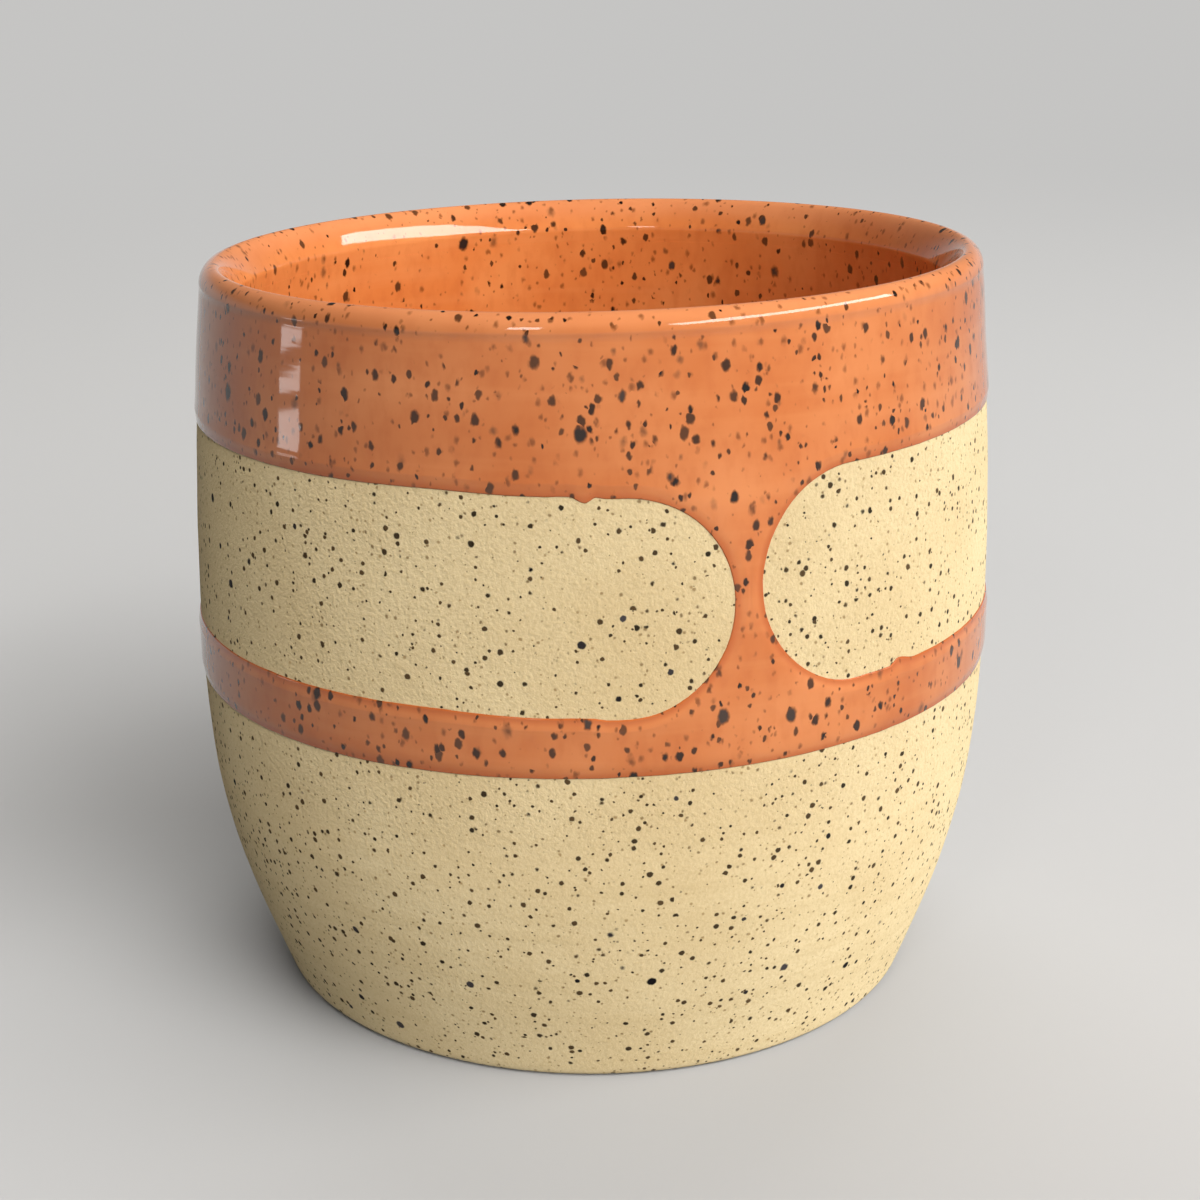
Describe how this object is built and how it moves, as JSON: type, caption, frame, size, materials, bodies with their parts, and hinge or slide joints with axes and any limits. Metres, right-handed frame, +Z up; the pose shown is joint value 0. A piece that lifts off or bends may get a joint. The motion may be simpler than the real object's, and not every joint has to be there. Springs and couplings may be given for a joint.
{
  "type": "tumbler cup",
  "caption": "Handleless wheel-thrown stoneware tumbler with a rounded belly, glazed inside and over the lip, and a dipped outer glaze with bare round-ended windows; holds a drink.",
  "frame": {"origin": "centre of the foot, on the surface that the cup stands on", "axes": "+Z up along the axis of turning; -Y points at one of the glaze bridges between the windows"},
  "size_m": [0.0902, 0.0902, 0.0828],
  "materials": {
    "speckled_clay": "bare buff stoneware, fine sandy grain with dark iron specks",
    "inside_glaze": "gloss terracotta-orange glaze with iron specks bleeding through",
    "outside_glaze": "gloss terracotta-orange glaze with iron specks bleeding through"
  },
  "bodies": {
    "root": {"clay_body": "speckled_clay", "liner_glaze": "inside_glaze", "outer_glaze": "outside_glaze"}
  },
  "joints": []
}
